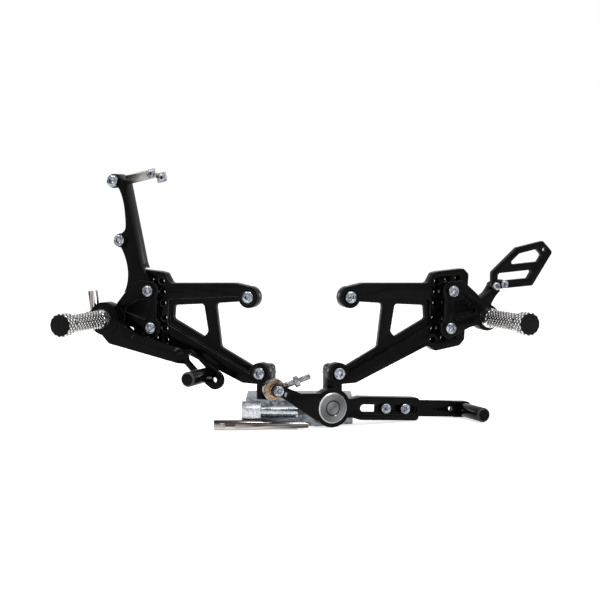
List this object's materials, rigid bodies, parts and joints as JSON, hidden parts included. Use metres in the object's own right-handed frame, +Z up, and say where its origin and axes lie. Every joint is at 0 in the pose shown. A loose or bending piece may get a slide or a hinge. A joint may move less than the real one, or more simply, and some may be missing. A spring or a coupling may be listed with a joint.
{
  "type": "rear sets footrest",
  "caption": "Motorcycle rear set pair on a display block: machined frame brackets, knurled footpegs, brake pedal, and shift lever with sliding toe and rod end.",
  "frame": {"origin": "centre of the bridge block's underside", "axes": "+X along the bridge block from the brake side to the shift side, +Z up, footpegs towards -Y"},
  "size_m": [0.5094, 0.1277, 0.2585],
  "materials": {
    "black_aluminium": "satin black anodised",
    "bright_aluminium": "clear anodised",
    "block_aluminium": "plain milled",
    "zinc_steel": "zinc plated",
    "stainless": "turned",
    "bronze": "plain bearing bronze",
    "black_plastic": "matt"
  },
  "bodies": {
    "stand": {"brake_post": "black_aluminium", "shift_post": "black_aluminium", "brake_bracket": "black_aluminium", "shift_bracket": "black_aluminium", "brake_carrier": "black_aluminium", "shift_carrier": "black_aluminium", "cylinder_arm": "black_aluminium", "heel_guard": "black_aluminium", "brake_footpeg": "bright_aluminium", "shift_footpeg": "bright_aluminium", "lever_pivot_cap": "bright_aluminium", "bridge_block": "block_aluminium", "cross_bolt": "zinc_steel", "post_screws": "zinc_steel", "upper_frame_bolts": "zinc_steel", "lower_frame_bolts": "zinc_steel", "post_nuts": "zinc_steel", "brake_carrier_bolts": "zinc_steel", "shift_carrier_bolts": "zinc_steel", "brake_peg_bolt": "zinc_steel", "shift_peg_bolt": "zinc_steel", "cylinder_bolts": "zinc_steel", "reservoir_screws": "zinc_steel", "heel_guard_screws": "zinc_steel", "lever_pivot_bolt": "zinc_steel", "lever_washer": "zinc_steel", "shift_rod": "stainless", "brake_pivot_sleeve": "stainless", "reservoir_bracket": "stainless", "brake_peg_cap": "black_plastic", "shift_peg_cap": "black_plastic"},
    "brake_pedal": {"brake_pedal": "black_aluminium", "brake_pedal_bush": "bronze", "brake_toe_peg": "black_aluminium", "brake_toe_bolt": "zinc_steel", "pushrod_pin": "zinc_steel"},
    "brake_pushrod": {"brake_pushrod": "stainless"},
    "shift_lever": {"shift_lever": "black_aluminium", "lever_bush": "bronze", "rod_end_ball": "stainless", "rod_end_bolt": "zinc_steel", "rod_end_nut": "zinc_steel"},
    "lever_extension": {"lever_extension": "black_aluminium", "extension_screws": "zinc_steel", "shift_toe_peg": "black_aluminium", "shift_toe_bolt": "zinc_steel"},
    "rod_end": {"rod_end_body": "stainless", "rod_end_race": "bronze", "rod_end_locknut": "zinc_steel"}
  },
  "joints": [
    {"name": "brake_pedal_pivot", "type": "hinge", "parent": "stand", "child": "brake_pedal", "pos_m": [-0.19836, 0.01182, 0.1044], "axis": [-0.4067, -0.9135, 0], "range_deg": [-12, 0]},
    {"name": "pushrod_pivot", "type": "hinge", "parent": "brake_pedal", "child": "brake_pushrod", "pos_m": [-0.21251, 0.03585, 0.1034], "axis": [-0.4067, -0.9135, 0], "range_deg": [-10, 10]},
    {"name": "shift_lever_pivot", "type": "hinge", "parent": "stand", "child": "shift_lever", "pos_m": [0.03092, -0.03843, 0.0199], "axis": [0.4067, -0.9135, 0], "range_deg": [0, 12]},
    {"name": "extension_slide", "type": "slide", "parent": "shift_lever", "child": "lever_extension", "axis": [0.911, 0.4056, -0.075], "range_m": [-0.02, 0.007]},
    {"name": "rod_end_swivel", "type": "hinge", "parent": "shift_lever", "child": "rod_end", "pos_m": [-0.02466, -0.05825, 0.04027], "axis": [0.4067, -0.9135, 0], "range_deg": [-5, 60]}
  ]
}
